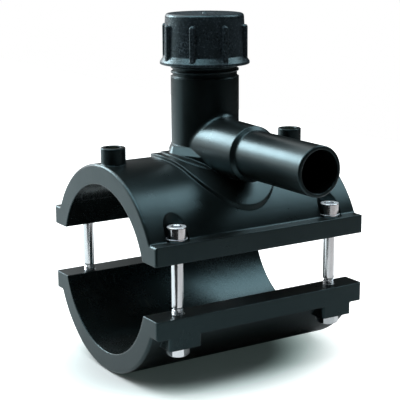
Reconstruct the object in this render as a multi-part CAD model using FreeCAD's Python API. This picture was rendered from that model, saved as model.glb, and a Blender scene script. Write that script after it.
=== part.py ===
import FreeCAD, Part
import math
import os

# Electrofusion tapping saddle: an upper saddle moulding with tapping chimney and branch,
# held round a plastic main by a lower half clamp, four long screws and nuts.
# Lengths are in millimetres. The origin is on the pipe axis at the middle of the saddle,
# +X runs along the pipe, -Y along the branch and +Z up the chimney.

# Main pipe and branch pipe
pipe_diameter = 90.0
pipe_wall = 8.2
branch_diameter = 25.0
branch_wall = 1.9

# Half shells and their flanges
saddle_length = 128.0
shell_wall = 10.5
flange_gap = 28.0
flange_thickness = 9.8
flange_edge = 8.0
edge_round = 1.4
root_round = 1.2
spot_face_depth = 0.5
boss_length = 18.6
boss_drop = 6.5
wrench_clearance = 1.1

# Clamp screws, washers and nuts
screw_diameter = 6.0
screw_pipe_gap = 0.5
screw_end_inset = 16.5
screw_hole_clearance = 0.3
screw_tip_recess = 0.4
screw_tip_chamfer = 0.8
head_diameter = 10.0
head_height = 6.0
head_chamfer = 0.4
screw_key_width = 5.0
screw_key_depth = 3.3
washer_diameter = 11.0
washer_thickness = 1.6
washer_clearance = 0.2
nut_width = 10.0
nut_height = 5.2
nut_thread_clearance = 0.1

# Hub and spigot of the branch
branch_floor = 5.9
hub_wall = 2.0
hub_root_wall = 3.3
hub_reach = 45.7
spigot_length = 53.2
spigot_chamfer = 0.5

# Chimney, its collar and the raised pad round it
chimney_diameter = 36.4
chimney_thread_length = 26.2
chimney_thread_depth = 1.0
chimney_round = 0.8
junction_round = 3.5
collar_ledge = 2.8
collar_slope_height = 3.9
collar_back_diameter = 47.0
collar_shift = 3.0
collar_land_diameter = 51.0
collar_land_rise = 0.5
pad_rise = 1.8
pad_margin = 5.3
pad_front_diameter = 52.0
pad_front_reach = 45.2

# Fusion mat with its heating wire, and the terminals
mat_length = 120.0
mat_width = 68.0
mat_thickness = 2.0
mat_corner = 4.0
wire_width = 0.8
wire_height = 0.7
wire_pitch = 4.0
wire_first_radius = 13.5
wire_half_turns = 9
terminal_inset = 7.8
shroud_diameter = 13.0
shroud_bore = 8.0
shroud_rise = 8.5
shroud_depth = 12.0
shroud_round = 0.4
terminal_diameter = 4.0
terminal_foot_diameter = 5.2
terminal_recess = 1.0

# Tapping cutter, its seal and its guide bush
cutter_diameter = 20.3
cutter_play = 0.25
cutter_park_gap = 1.4
cutter_sink = 0.5
cutter_overcut = 2.8
cutter_engagement = 7.5
cutter_chamber_gap = 1.45
cutter_blade_diameter = 20.0
cutter_blade_wall = 1.8
cutter_blade_depth = 9.5
cutter_tooth_count = 8
cutter_tooth_height = 2.0
cutter_key_width = 12.0
cutter_key_depth = 12.0
seal_section = 1.8
seal_land = 1.7
seal_play = 0.1
seal_groove_spare = 0.3
guide_wall = 3.1
guide_lift = 2.5
guide_top_gap = 5.5

# Screw cap and its gasket
cap_height = 26.6
cap_top_wall = 4.9
cap_body_diameter = 42.0
cap_draft = 0.4
cap_thread_clearance = 0.3
cap_round = 1.5
cap_rim_diameter = 47.8
cap_rim_height = 1.0
cap_flare_height = 3.5
cap_entry_depth = 1.5
cap_rib_count = 8
cap_rib_width = 3.1
cap_rib_stand = 2.2
cap_rib_top_gap = 5.6
cap_rib_phase = 41.3
cap_pip_diameter = 2.4
cap_pip_height = 0.35
gasket_width = 2.8
gasket_height = 2.0
gasket_play = 0.1

X = FreeCAD.Vector(1, 0, 0)
Y = FreeCAD.Vector(0, 1, 0)
Z = FreeCAD.Vector(0, 0, 1)
ORIGIN = FreeCAD.Vector(0, 0, 0)

# Shells and flanges
pipe_r = pipe_diameter / 2
shell_r = pipe_r + shell_wall
half_length = saddle_length / 2
face_z = flange_gap / 2
ledge_z = face_z + flange_thickness
screw_r = screw_diameter / 2
screw_y = pipe_r + screw_r + screw_pipe_gap
screw_x = half_length - screw_end_inset
flange_y = screw_y + flange_edge
pocket_r = washer_diameter / 2 + wrench_clearance

# Screw stack, from the washer's seat down to the nut
washer_z = ledge_z - spot_face_depth
head_z = washer_z + washer_thickness
boss_z = -ledge_z - boss_drop
nut_z = boss_z - nut_height
screw_tip_z = nut_z + screw_tip_recess

# Branch and chimney
branch_r = branch_diameter / 2
branch_bore_r = branch_r - branch_wall
branch_z = pipe_r + branch_floor + branch_bore_r
hub_r = branch_r + hub_wall
hub_root_r = branch_r + hub_root_wall
chimney_r = chimney_diameter / 2
collar_top_r = chimney_r / math.cos(math.pi / 6)
collar_r = (chimney_r + collar_ledge) / math.cos(math.pi / 6)
collar_z = shell_r + pad_rise
collar_back_r = collar_back_diameter / 2
spigot_end_y = -(hub_reach + hub_wall + spigot_length)

# Cutter: parked above the branch bore, fed down until it is through the pipe wall
cutter_r = cutter_diameter / 2
cutter_z = branch_z + branch_bore_r + cutter_park_gap
cutter_travel = cutter_z - (pipe_r - pipe_wall - cutter_overcut)
cutter_length = cutter_travel + guide_lift + cutter_engagement
chimney_top_z = cutter_z + cutter_length + cutter_sink
chimney_thread_z = chimney_top_z - chimney_thread_length
guide_bore_r = cutter_r + cutter_play
guide_r = guide_bore_r + guide_wall
guide_z = cutter_z + guide_lift
guide_top_z = chimney_top_z - guide_top_gap
chamber_r = cutter_r + cutter_chamber_gap
chamber_z = branch_z - branch_bore_r - seal_land / 4
seal_z = cutter_z + cutter_blade_depth + seal_land
groove_height = seal_section + seal_groove_spare

# Cap
cap_inner_r = chimney_r - chimney_thread_depth + cap_thread_clearance
cap_ceiling_z = chimney_top_z + gasket_height
cap_top_z = cap_ceiling_z + cap_top_wall
cap_z = cap_top_z - cap_height

# Fusion mat and terminals
mat_r = pipe_r + mat_thickness
terminal_x = half_length - terminal_inset
shroud_top_z = shell_r + shroud_rise
shroud_floor_z = shroud_top_z - shroud_depth


def at(x, y, z):
    return FreeCAD.Vector(x, y, z)


def cylinder_x(radius, length):
    return Part.makeCylinder(radius, length, at(-length / 2, 0, 0), X)


def cylinder_z(radius, low, high, x=0.0, y=0.0):
    return Part.makeCylinder(radius, high - low, at(x, y, low), Z)


def ring_z(outer, inner, low, high, x=0.0, y=0.0):
    return cylinder_z(outer, low, high, x, y).cut(cylinder_z(inner, low, high, x, y))


def line(start, end):
    return Part.LineSegment(start, end).toShape()


def arc(start, middle, end):
    return Part.Arc(start, middle, end).toShape()


def extruded(edges, direction):
    return Part.Face(Part.Wire(edges)).extrude(direction)


def turned(points):
    # A closed outline in the XZ plane, turned once round Z
    wire = Part.makePolygon([at(r, 0, z) for r, z in points + points[:1]])
    return Part.Face(wire).revolve(ORIGIN, Z, 360)


def hexagon(width, low, high, x=0.0, y=0.0):
    # Prism with two corners on the X direction, width measured over its flats
    radius = width / 2 / math.cos(math.pi / 6)
    corners = [at(x + radius * math.cos(math.radians(60 * k)), y + radius * math.sin(math.radians(60 * k)), low)
               for k in range(7)]
    return Part.Face(Part.makePolygon(corners)).extrude(Z * (high - low))


def straight_edges(shape, direction):
    # Edges that run along the given direction
    found = []
    for edge in shape.Edges:
        if len(edge.Vertexes) == 2:
            chord = edge.Vertexes[1].Point - edge.Vertexes[0].Point
            if chord.cross(direction).Length < 1e-6 and abs(edge.Length - chord.Length) < 1e-6:
                found.append(edge)
    return found


def half_shell():
    # Cross-section of the upper half: bore arc, flange faces, ledges and outer arc
    bore_y = math.sqrt(pipe_r ** 2 - face_z ** 2)
    blend_y = math.sqrt((shell_r + root_round) ** 2 - (ledge_z + root_round) ** 2)
    touch = shell_r / (shell_r + root_round)
    touch_y = blend_y * touch
    touch_z = (ledge_z + root_round) * touch
    x = -half_length
    blend_lean = root_round * math.sqrt(0.5)
    section = [arc(at(x, bore_y, face_z), at(x, 0, pipe_r), at(x, -bore_y, face_z)),
               line(at(x, -bore_y, face_z), at(x, -flange_y, face_z)),
               line(at(x, -flange_y, face_z), at(x, -flange_y, ledge_z)),
               line(at(x, -flange_y, ledge_z), at(x, -blend_y, ledge_z))]
    for side in (-1, 1):
        ledge_point = at(x, side * blend_y, ledge_z)
        wall_point = at(x, side * touch_y, touch_z)
        centre = at(x, side * blend_y, ledge_z + root_round)
        middle_direction = (ledge_point - centre) + (wall_point - centre)
        middle = centre + middle_direction * (root_round / middle_direction.Length)
        if side < 0:
            section.append(arc(ledge_point, middle, wall_point))
            section.append(arc(wall_point, at(x, 0, shell_r), at(x, touch_y, touch_z)))
        else:
            section.append(arc(wall_point, middle, ledge_point))
    section += [line(at(x, blend_y, ledge_z), at(x, flange_y, ledge_z)),
                line(at(x, flange_y, ledge_z), at(x, flange_y, face_z)),
                line(at(x, flange_y, face_z), at(x, bore_y, face_z))]
    shell = extruded(section, X * saddle_length)
    rounded = straight_edges(shell, Z)
    for edge in shell.Edges:
        centre = edge.BoundBox.Center
        at_end = abs(abs(centre.x) - half_length) < 1e-6
        if at_end and edge.BoundBox.ZMax > shell_r - 1e-3:
            rounded.append(edge)
    return shell.makeFillet(edge_round, rounded)


def pad():
    # Raised land round the chimney, egg-shaped in plan with its nose under the branch
    back_r = collar_r + pad_margin
    front_r = pad_front_diameter / 2
    front_y = front_r - pad_front_reach
    lean = math.asin((back_r - front_r) / -front_y)
    back = at(back_r * math.cos(lean), -back_r * math.sin(lean), 0)
    front = at(front_r * math.cos(lean), front_y - front_r * math.sin(lean), 0)
    outline = [arc(back, at(0, back_r, 0), at(-back.x, back.y, 0)),
               line(at(-back.x, back.y, 0), at(-front.x, front.y, 0)),
               arc(at(-front.x, front.y, 0), at(0, -pad_front_reach, 0), front),
               line(front, back)]
    column = extruded(outline, Z * (shell_r + pad_rise))
    land = cylinder_x(shell_r + pad_rise, saddle_length).cut(cylinder_x(shell_r - shell_wall / 2, saddle_length))
    return column.common(land)


def collar():
    # Hexagonal plinth at the foot of the chimney, with sloping shoulders, a rounded back and a low round land
    middle = at(0, -collar_shift, 0)
    width = 2 * collar_r * math.cos(math.pi / 6)
    plinth = hexagon(width, 0, collar_z, 0, -collar_shift)
    corners = [at(math.cos(math.radians(60 * k)), math.sin(math.radians(60 * k)), 0) for k in range(7)]
    foot = Part.makePolygon([middle + corner * collar_r + Z * collar_z for corner in corners])
    top = Part.makePolygon([corner * collar_top_r + Z * (collar_z + collar_slope_height) for corner in corners])
    shoulders = Part.makeLoft([foot, top], True, True)
    column = Part.makeCylinder(collar_back_r, collar_z, middle, Z)
    shrink = (collar_r - collar_top_r) * math.cos(math.pi / 6)
    crown = Part.makeCone(collar_back_r, collar_back_r - shrink, collar_slope_height, middle + Z * collar_z, Z)
    land = cylinder_z(collar_land_diameter / 2, 0, collar_z + collar_land_rise, 0, -collar_shift)
    land = land.common(cylinder_x(collar_z + collar_land_rise, saddle_length))
    plinth = plinth.common(column).fuse(land).cut(cylinder_x(shell_r - shell_wall / 2, saddle_length))
    return plinth.fuse(shoulders.common(crown))


def chimney_and_branch():
    # Two crossing barrels with a moulded round where the hub meets the chimney
    barrel = cylinder_z(chimney_r, branch_z - chimney_r - junction_round, chimney_thread_z)
    hub = Part.makeCone(hub_root_r, hub_r, hub_reach, at(0, 0, branch_z), -Y)
    cross = barrel.fuse(hub)
    seam = [edge for edge in cross.Edges
            if edge.BoundBox.ZMin > branch_z - hub_root_r - 1e-3 and edge.BoundBox.ZMax < branch_z + hub_root_r + 1e-3
            and edge.BoundBox.YMax < 0 and edge.BoundBox.YMin > -chimney_r - 1e-3]
    cross = cross.makeFillet(junction_round, seam)
    cross = cross.cut(cylinder_x(pipe_r + shell_wall / 2, saddle_length))
    thread_r = chimney_r - chimney_thread_depth
    neck = cylinder_z(thread_r, chimney_thread_z, chimney_top_z)
    neck = neck.makeFillet(chimney_round, [edge for edge in neck.Edges
                                           if edge.BoundBox.ZMin > chimney_top_z - 1e-6])
    shoulder = Part.makeCone(hub_r, branch_r, hub_wall, at(0, -hub_reach, branch_z), -Y)
    spigot = Part.makeCylinder(branch_r, spigot_length, at(0, -hub_reach - hub_wall, branch_z), -Y)
    spigot = spigot.makeChamfer(spigot_chamfer, [edge for edge in spigot.Edges
                                                 if edge.BoundBox.YMax < spigot_end_y + 1e-6])
    return cross.fuse([neck, shoulder, spigot])


def shroud(x):
    # Round guard standing on the crown round one terminal
    guard = cylinder_z(shroud_diameter / 2, pipe_r + shell_wall / 2, shroud_top_z, x)
    return guard.makeFillet(shroud_round, [edge for edge in guard.Edges
                                           if edge.BoundBox.ZMin > shroud_top_z - 1e-6])


def mat_block(spare):
    # Rounded rectangular column that bounds the mat, or its recess, in plan
    length = mat_length - 2 * spare
    width = mat_width - 2 * spare
    column = Part.makeBox(length, width, 2 * pipe_r, at(-length / 2, -width / 2, 0))
    return column.makeFillet(mat_corner, straight_edges(column, Z))


def screw_places():
    # Name, x and y of each clamp screw
    for end, x in (("left", -screw_x), ("right", screw_x)):
        for side, y in (("front", -screw_y), ("rear", screw_y)):
            yield side + "_" + end, x, y


def saddle_body():
    body = half_shell().fuse([pad(), collar(), chimney_and_branch(), shroud(-terminal_x), shroud(terminal_x)])
    hollows = [cylinder_z(guide_bore_r, 0, chamber_z),
               cylinder_z(chamber_r, chamber_z, guide_z),
               cylinder_z(guide_r, guide_z, chimney_top_z),
               Part.makeCylinder(branch_bore_r, -spigot_end_y, at(0, 0, branch_z), -Y),
               mat_block(0).common(cylinder_x(mat_r, saddle_length))]
    for x in (-terminal_x, terminal_x):
        hollows.append(cylinder_z(shroud_bore / 2, shroud_floor_z, shroud_top_z, x))
        hollows.append(cylinder_z(terminal_foot_diameter / 2, 0, shroud_floor_z, x))
    for _, x, y in screw_places():
        hollows.append(cylinder_z(screw_r + screw_hole_clearance, 0, washer_z, x, y))
        hollows.append(cylinder_z(pocket_r, washer_z, shell_r, x, y))
    return body.cut(hollows).removeSplitter()


def lower_clamp():
    shell = half_shell().mirror(ORIGIN, Z)
    bosses = []
    hollows = []
    for _, x, y in screw_places():
        side = math.copysign(1, y)
        inner_y = side * (pipe_r + shell_wall / 2) * math.cos(math.asin(-boss_z / shell_r))
        low_y = min(inner_y, side * flange_y)
        block = Part.makeBox(boss_length, abs(side * flange_y - inner_y), boss_drop,
                             at(x - boss_length / 2, low_y, boss_z))
        block = block.makeFillet(edge_round, [edge for edge in straight_edges(block, Z)
                                              if abs(edge.BoundBox.Center.y - side * flange_y) < 1e-6])
        bosses.append(block)
        hollows.append(cylinder_z(screw_r + screw_hole_clearance, boss_z, 0, x, y))
        hollows.append(cylinder_z(pocket_r, -shell_r, boss_z, x, y))
    return shell.fuse(bosses).cut(hollows).removeSplitter()


def heating_wire():
    # Flat spiral of half circles in plan, cut out of the fusion face's curved skin
    half = wire_width / 2
    outer = []
    inner = []
    for k in range(wire_half_turns):
        radius = wire_first_radius + k * wire_pitch / 2
        centre = 0.0 if k % 2 == 0 else -wire_pitch / 2
        turn = 1 if k % 2 == 0 else -1
        for edges, r in ((outer, radius + half), (inner, radius - half)):
            start = at(centre - turn * r, 0, 0)
            end = at(centre + turn * r, 0, 0)
            edges.append((start, at(centre, turn * r, 0), end))
    edges = [arc(*points) for points in outer]
    edges.append(line(outer[-1][2], inner[-1][2]))
    edges += [arc(end, middle, start) for start, middle, end in reversed(inner)]
    edges.append(line(inner[0][0], outer[0][0]))
    skin = cylinder_x(pipe_r + wire_height, saddle_length).cut(cylinder_x(pipe_r, saddle_length))
    coil = extruded(edges, Z * mat_r).common(skin)
    last_radius = wire_first_radius + (wire_half_turns - 1) * wire_pitch / 2
    lead_z = mat_r - wire_height
    leads = []
    for start, end in ((-wire_first_radius, -terminal_x), (last_radius, terminal_x)):
        low = min(start, end) - half
        leads.append(Part.makeBox(abs(end - start) + wire_width, wire_width, wire_height, at(low, -half, lead_z)))
        leads.append(Part.makeBox(wire_width, wire_width, lead_z - pipe_r, at(start - half, -half, pipe_r)))
    return coil.fuse(leads).removeSplitter()


def fusion_mat(wire):
    plate = mat_block(0).common(cylinder_x(mat_r, saddle_length)).cut(cylinder_x(pipe_r, saddle_length))
    return plate.cut([cylinder_z(guide_bore_r, 0, mat_r), wire])


def terminal_pin(x):
    # Pin for the plug on a thicker foot that is buried in the moulding
    top = shroud_top_z - terminal_recess
    foot = cylinder_z(terminal_foot_diameter / 2, mat_r, shroud_floor_z, x)
    pin = cylinder_z(terminal_diameter / 2, shroud_floor_z, top, x)
    pin = pin.makeChamfer(shroud_round, [edge for edge in pin.Edges if edge.BoundBox.ZMin > top - 1e-6])
    return pin.fuse(foot)


def cutter_guide():
    bush = ring_z(guide_r, guide_bore_r, guide_z, guide_top_z)
    return bush.makeChamfer(shroud_round, [edge for edge in bush.Edges
                                           if edge.BoundBox.ZMin > guide_top_z - 1e-6])


def tapping_cutter():
    blade_r = cutter_blade_diameter / 2
    top = cutter_z + cutter_length
    neck_r = guide_bore_r - seal_play - seal_section - seal_play
    outline = [(0, cutter_z + cutter_blade_depth), (blade_r - cutter_blade_wall, cutter_z + cutter_blade_depth),
               (blade_r - cutter_blade_wall, cutter_z), (blade_r, cutter_z), (blade_r, seal_z),
               (neck_r, seal_z), (neck_r, seal_z + groove_height), (cutter_r, seal_z + groove_height),
               (cutter_r, top - head_chamfer), (cutter_r - head_chamfer, top), (0, top)]
    cutter = turned(outline)
    notches = [hexagon(cutter_key_width, top - cutter_key_depth, top)]
    reach = blade_r + 1
    gullet = cutter_tooth_height * 2
    for k in range(cutter_tooth_count):
        corners = [at(0, 0, cutter_z - 1), at(0, gullet, cutter_z - 1), at(0, 0, cutter_z + cutter_tooth_height)]
        notch = Part.Face(Part.makePolygon(corners + corners[:1])).extrude(X * reach)
        notch.rotate(ORIGIN, Z, k * 360.0 / cutter_tooth_count)
        notches.append(notch)
    return cutter.cut(notches)


def cutter_seal():
    # Rubber ring in the cutter's groove
    section_r = seal_section / 2
    ring_r = guide_bore_r - seal_play - section_r
    return Part.makeTorus(ring_r, section_r, at(0, 0, seal_z + groove_height / 2), Z)


def cap():
    body_r = cap_body_diameter / 2
    rim_r = cap_rim_diameter / 2
    flare_z = cap_z + cap_rim_height + cap_flare_height
    outline = [(0, cap_ceiling_z), (cap_inner_r, cap_ceiling_z), (cap_inner_r, cap_z + cap_entry_depth),
               (cap_inner_r + cap_entry_depth, cap_z), (rim_r, cap_z), (rim_r, cap_z + cap_rim_height),
               (body_r + cap_draft, flare_z), (body_r, cap_top_z), (0, cap_top_z)]
    shell = turned(outline)
    shell = shell.makeFillet(cap_round, [edge for edge in shell.Edges if edge.BoundBox.ZMin > cap_top_z - 1e-6])
    rib_r = body_r + cap_rib_stand
    rib_top = cap_top_z - cap_rib_top_gap
    half = cap_rib_width / 2
    ribs = []
    for k in range(cap_rib_count):
        # Upright bar with a half-round head, pointed outwards along X before it is turned
        front = [line(at(0, -half, cap_z + cap_rim_height), at(0, -half, rib_top - half)),
                 arc(at(0, -half, rib_top - half), at(0, 0, rib_top), at(0, half, rib_top - half)),
                 line(at(0, half, rib_top - half), at(0, half, cap_z + cap_rim_height)),
                 line(at(0, half, cap_z + cap_rim_height), at(0, -half, cap_z + cap_rim_height))]
        rib = extruded(front, X * rib_r).cut(cylinder_z(body_r - 1, cap_z, cap_top_z))
        rib.rotate(ORIGIN, Z, cap_rib_phase + k * 360.0 / cap_rib_count)
        ribs.append(rib)
    pip = Part.makeCone(cap_pip_diameter / 2, cap_pip_diameter / 4, cap_pip_height, at(0, 0, cap_top_z), Z)
    return shell.fuse(ribs + [pip]).removeSplitter()


def cap_gasket():
    outer = chimney_r - chimney_thread_depth - chimney_round
    return ring_z(outer, outer - gasket_width, chimney_top_z + gasket_play, cap_ceiling_z - gasket_play)


def clamp_screw(x, y):
    radius = head_diameter / 2
    outline = [(0, screw_tip_z), (screw_r - screw_tip_chamfer, screw_tip_z),
               (screw_r, screw_tip_z + screw_tip_chamfer), (screw_r, head_z), (radius, head_z),
               (radius, head_z + head_height - head_chamfer), (radius - head_chamfer, head_z + head_height),
               (0, head_z + head_height)]
    screw = turned(outline)
    key_z = head_z + head_height
    screw = screw.cut(hexagon(screw_key_width, key_z - screw_key_depth, key_z))
    screw.translate(at(x, y, 0))
    return screw


def washer(x, y):
    return ring_z(washer_diameter / 2, screw_r + washer_clearance, washer_z, head_z, x, y)


def nut(x, y):
    # Hexagon nut with both ends turned to a cone that takes its corners off
    block = hexagon(nut_width, nut_z, boss_z)
    corner_r = nut_width / 2 / math.cos(math.pi / 6)
    bevel = (corner_r - nut_width / 2) * math.tan(math.radians(30))
    blank = turned([(0, nut_z), (nut_width / 2, nut_z), (corner_r, nut_z + bevel),
                    (corner_r, boss_z - bevel), (nut_width / 2, boss_z), (0, boss_z)])
    block = block.common(blank).cut(cylinder_z(screw_r + nut_thread_clearance, nut_z, boss_z))
    block.translate(at(x, y, 0))
    return block


def all_parts():
    wire = heating_wire()
    parts = {"saddle_body": saddle_body(),
             "heating_wire": wire,
             "fusion_mat": fusion_mat(wire),
             "terminal_pin_left": terminal_pin(-terminal_x),
             "terminal_pin_right": terminal_pin(terminal_x),
             "cutter_guide": cutter_guide(),
             "tapping_cutter": tapping_cutter(),
             "cutter_seal": cutter_seal(),
             "cap": cap(),
             "cap_gasket": cap_gasket(),
             "lower_clamp": lower_clamp()}
    for place, x, y in screw_places():
        parts["screw_" + place] = clamp_screw(x, y)
        parts["washer_" + place] = washer(x, y)
        parts["nut_" + place] = nut(x, y)
    return parts


def main():
    os.makedirs("parts", exist_ok=True)
    for name, shape in all_parts().items():
        shape.exportStep(os.path.join("parts", name + ".step"))
        box = shape.BoundBox
        print(name, len(shape.Solids), "solid", round(shape.Volume, 1), "mm3", "valid", shape.isValid(),
              [round(v, 2) for v in (box.XMin, box.YMin, box.ZMin, box.XMax, box.YMax, box.ZMax)])


main()
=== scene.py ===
"""Looks of the tapping saddle: threads, cap, cutter, fasteners, finishes, studio and camera."""

import math

import bmesh
import bpy
from bpy.props import FloatProperty, FloatVectorProperty, IntProperty, PointerProperty
from mathutils import Matrix, Vector


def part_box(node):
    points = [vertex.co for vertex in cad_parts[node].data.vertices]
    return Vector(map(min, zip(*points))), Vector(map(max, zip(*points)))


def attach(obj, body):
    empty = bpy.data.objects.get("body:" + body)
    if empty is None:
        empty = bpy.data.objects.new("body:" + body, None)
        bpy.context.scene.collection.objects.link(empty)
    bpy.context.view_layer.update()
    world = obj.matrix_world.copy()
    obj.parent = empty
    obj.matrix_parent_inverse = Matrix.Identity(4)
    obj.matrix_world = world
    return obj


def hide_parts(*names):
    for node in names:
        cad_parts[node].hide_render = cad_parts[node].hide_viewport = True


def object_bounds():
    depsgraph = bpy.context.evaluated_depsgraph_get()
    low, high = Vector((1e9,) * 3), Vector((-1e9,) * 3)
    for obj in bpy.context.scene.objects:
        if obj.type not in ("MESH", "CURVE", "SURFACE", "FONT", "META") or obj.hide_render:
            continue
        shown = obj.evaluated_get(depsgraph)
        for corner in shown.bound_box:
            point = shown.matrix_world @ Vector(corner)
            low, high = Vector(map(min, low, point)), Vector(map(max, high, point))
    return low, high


bl_info = {
    "name": "Tapping Saddle Dresser",
    "version": (1, 0, 0),
    "blender": (4, 5, 0),
    "location": "View3D > Sidebar > Saddle",
    "description": "Dresses the tapping saddle with threads, moulded plastic, plated fasteners and a studio",
    "category": "Object",
}

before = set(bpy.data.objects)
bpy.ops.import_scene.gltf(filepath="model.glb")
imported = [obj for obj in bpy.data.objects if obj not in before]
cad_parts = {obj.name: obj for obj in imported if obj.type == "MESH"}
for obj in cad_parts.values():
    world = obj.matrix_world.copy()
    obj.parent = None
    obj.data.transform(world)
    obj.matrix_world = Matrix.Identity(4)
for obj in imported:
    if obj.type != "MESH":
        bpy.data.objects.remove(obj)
CAD_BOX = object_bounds()

CORNERS = ("front_left", "rear_left", "front_right", "rear_right")
BODY_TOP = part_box("saddle_body")[1][2]
CAP_LOW, CAP_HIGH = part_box("cap")
CUTTER_LOW, CUTTER_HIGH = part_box("tapping_cutter")
NUT_LOW, NUT_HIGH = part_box("nut_front_left")

# The table top's corners, then its colours at the front and the rear, and the stretch over which they meet;
# the darker front is painted shade
TABLE = ((-0.13, -0.12), (-0.11, -0.46), (0.53, -0.46), (0.53, 12.0), (-12.0, 12.0), (-12.0, 6.0),
         (-0.40, 0.20), (-0.40, -0.047))
TABLE_FRONT = ((0.47, 0.40, 0.38, 1.0), (0.50, 0.43, 0.41, 1.0))
TABLE_REAR = (0.72, 0.715, 0.70, 1.0)
TABLE_STRETCH = (-0.35, 0.10)
ALONG_VIEW = (-0.5, 0.866, 0.0)
# Oval where the floor's white glow drops to show the real shadow, its soft rim a painted edge of that shadow:
# shift of its centre, radii, soft edge, and the glow and tint painted into the shadow
SHADE_SHIFT = (0.17, 0.05, 0.0)
SHADE_RADII = (0.092, 0.072)
SHADE_EDGE = (0.52, 1.15)
SHADE_GLOW = 0.032
SHADE_TINT = (0.70, 1.0, 0.95, 1.0)
# The lit wall behind: its direction, and the cosines at which it starts and is full
WALL_TOWARDS = (-0.317, 0.871, 0.375)
WALL_EDGE = (0.64, 0.97)
LAMP_COLOUR = (0.82, 0.94, 1.0)
# Each lamp's name, power setting, width and depth, place and aim
LAMPS = (
    ("side_softbox", "side_power", (0.80, 0.55), (0.74, -0.19, 0.88), (0.0, -0.03, 0.04)),
    ("top_softbox", "top_power", (0.90, 0.70), (-0.28, 0.02, 0.97), (0.0, 0.0, 0.06)),
    ("rear_softbox", "rear_power", (0.38, 0.38), (-0.376, 0.784, 0.465), (0.0, -0.05, 0.062)),
)
WHITE = (1.0, 1.0, 1.0, 1.0)

# Plastic: size and depth of its flow waves, size of its flow marks and of the patches of rubbed wear and
# painted highlight on its edges
WAVE_SIZE = 0.016
WAVE_DEPTH = 0.0001
FLOW_SIZE = 0.0045
RUB_AND_HIGHLIGHT_PATCH_SIZE = 0.0021
# Each metal's colour setting, roughness from and to, second colour, streaks along X, Y and Z, and the
# dullness that it gains where it faces up or down
METALS = {
    "zinc_plate": ("zinc", (0.12, 0.20), (0.84, 0.87, 0.89, 1.0), (1.0, 1.0, 0.12), 0.36),
    "turned_brass": ("brass", (0.2, 0.38), (0.70, 0.52, 0.27, 1.0), (0.1, 0.1, 1.0), 0.0),
    "cutter_steel": ("steel", (0.25, 0.42), (0.42, 0.42, 0.43, 1.0), (0.1, 0.1, 1.0), 0.0),
    "heating_wire": ("wire", (0.3, 0.5), (0.5, 0.3, 0.2, 1.0), (1.0, 1.0, 0.12), 0.0),
}


# Settings

def length_property(name, description, default):
    return FloatProperty(name=name, description=description, default=default, unit="LENGTH")


def turn_property(name, description, degrees):
    return FloatProperty(name=name, description=description, default=math.radians(degrees), unit="ROTATION")


def colour_property(name, description, red, green, blue):
    return FloatVectorProperty(name=name, description=description, subtype="COLOR", size=4,
                               default=(red, green, blue, 1.0), min=0.0, max=1.0)


def power_property(name, description, default):
    return FloatProperty(name=name, description=description, default=default, unit="POWER")


class ChimneyThreadSettings(bpy.types.PropertyGroup):
    core_radius: length_property("Core radius", "Radius of the chimney under its thread", 0.0172)
    depth: length_property("Depth", "How far a ridge stands out of the core", 0.00095)
    pitch: length_property("Pitch", "Rise of the thread in one turn", 0.0025)
    start_height: length_property("Start height", "Height of the shoulder where the thread begins", 0.0973)


class CapSettings(bpy.types.PropertyGroup):
    body_radius: length_property("Body radius", "Radius of the cap between its ribs", 0.0210)
    rim_radius: length_property("Rim radius", "Radius of the flared rim", (CAP_HIGH[0] - CAP_LOW[0]) / 2)
    rib_count: IntProperty(name="Ribs", description="Number of grip ribs round the cap", default=8, min=3)
    rib_width: length_property("Rib width", "Width of one grip rib", 0.0031)
    rib_stand: length_property("Rib stand", "How far a rib stands out of the body", 0.0023)
    rib_phase: turn_property("Rib phase", "Turn of the first rib from the pipe axis", 41.3)
    head_rise: length_property("Head rise", "Height of the cap's top above the chimney's end", 0.0069)
    rib_gap: length_property("Rib gap", "Height of the cap's top above the ribs' heads", 0.0056)
    grain_size: length_property("Grain size", "Size of the moulded grain on the cap", 0.0010)


class FastenerSettings(bpy.types.PropertyGroup):
    thread_pitch: length_property("Thread pitch", "Pitch of the clamp screws", 0.001)
    thread_length: length_property("Thread length", "Threaded length of a clamp screw", 0.024)
    thread_depth: length_property("Thread depth", "Depth of the screw's thread", 0.00055)
    key_width: length_property("Key width", "Width over flats of the socket in a screw head", 0.005)
    nut_width: length_property("Nut width", "Width over flats of a nut", NUT_HIGH[1] - NUT_LOW[1])


class CutterSettings(bpy.types.PropertyGroup):
    pitch: length_property("Pitch", "Rise of the cutter's thread in one turn", 0.002)
    depth: length_property("Depth", "Depth of the cutter's thread", 0.0008)
    key_width: length_property("Key width", "Width over flats of the cutter's key socket", 0.012)
    tooth_count: IntProperty(name="Teeth", description="Number of cutting teeth", default=8, min=3)


class FinishSettings(bpy.types.PropertyGroup):
    plastic: colour_property("Plastic", "Colour of the moulded halves", 0.0045, 0.0058, 0.0055)
    cap: colour_property("Cap", "Colour of the cap's plastic", 0.021, 0.028, 0.033)
    zinc: colour_property("Zinc", "Colour of the plated fasteners", 0.92, 0.94, 0.96)
    brass: colour_property("Brass", "Colour of the guide and terminals", 0.80, 0.62, 0.33)
    steel: colour_property("Steel", "Colour of the cutter", 0.52, 0.53, 0.54)
    rubber: colour_property("Rubber", "Colour of the seals", 0.02, 0.02, 0.021)
    wire: colour_property("Wire", "Colour of the heating wire", 0.62, 0.38, 0.24)


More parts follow.
